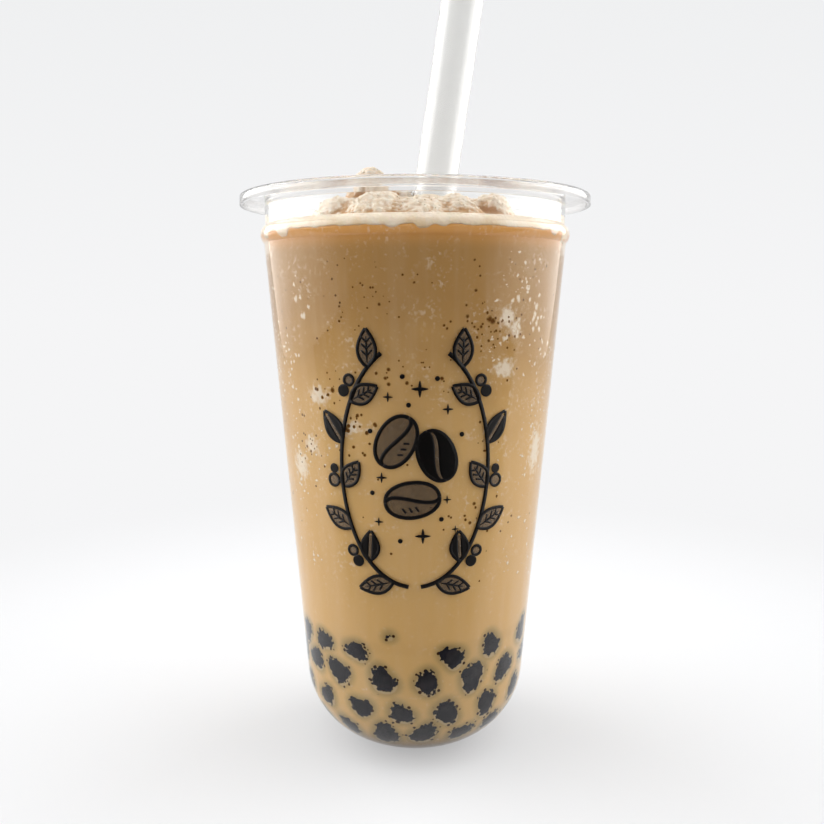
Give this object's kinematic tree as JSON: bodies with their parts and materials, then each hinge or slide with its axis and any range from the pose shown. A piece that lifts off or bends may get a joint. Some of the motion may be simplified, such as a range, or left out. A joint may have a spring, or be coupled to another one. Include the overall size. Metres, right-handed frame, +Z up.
{
  "type": "iced coffee frappe in a cup",
  "caption": "Clear round-bottomed plastic cup of iced milk coffee with a foam head, a heap of slush and a wide straw.",
  "frame": {"origin": "on the cup's axis, on the surface that its foot ring stands on", "axes": "+Z up along the cup's axis, +X to the drinker's right, -Y towards the drinker; the straw leans to +X and slightly to +Y"},
  "size_m": [0.095, 0.095, 0.2314],
  "materials": {
    "clear_plastic": "clear moulded polypropylene, polished",
    "milk_coffee": "opaque milky liquid against the cup's wall",
    "milk_foam": "fine wet foam",
    "ice_slush": "granular blended ice",
    "straw_plastic": "translucent white extruded polypropylene",
    "tapioca": "dark glossy cooked tapioca",
    "print_ink": "black screen-printed ink"
  },
  "bodies": {
    "root": {"cup": "clear_plastic", "drink": "milk_coffee", "foam_head": "milk_foam", "slush_mound": "ice_slush", "straw": "straw_plastic"}
  },
  "joints": []
}
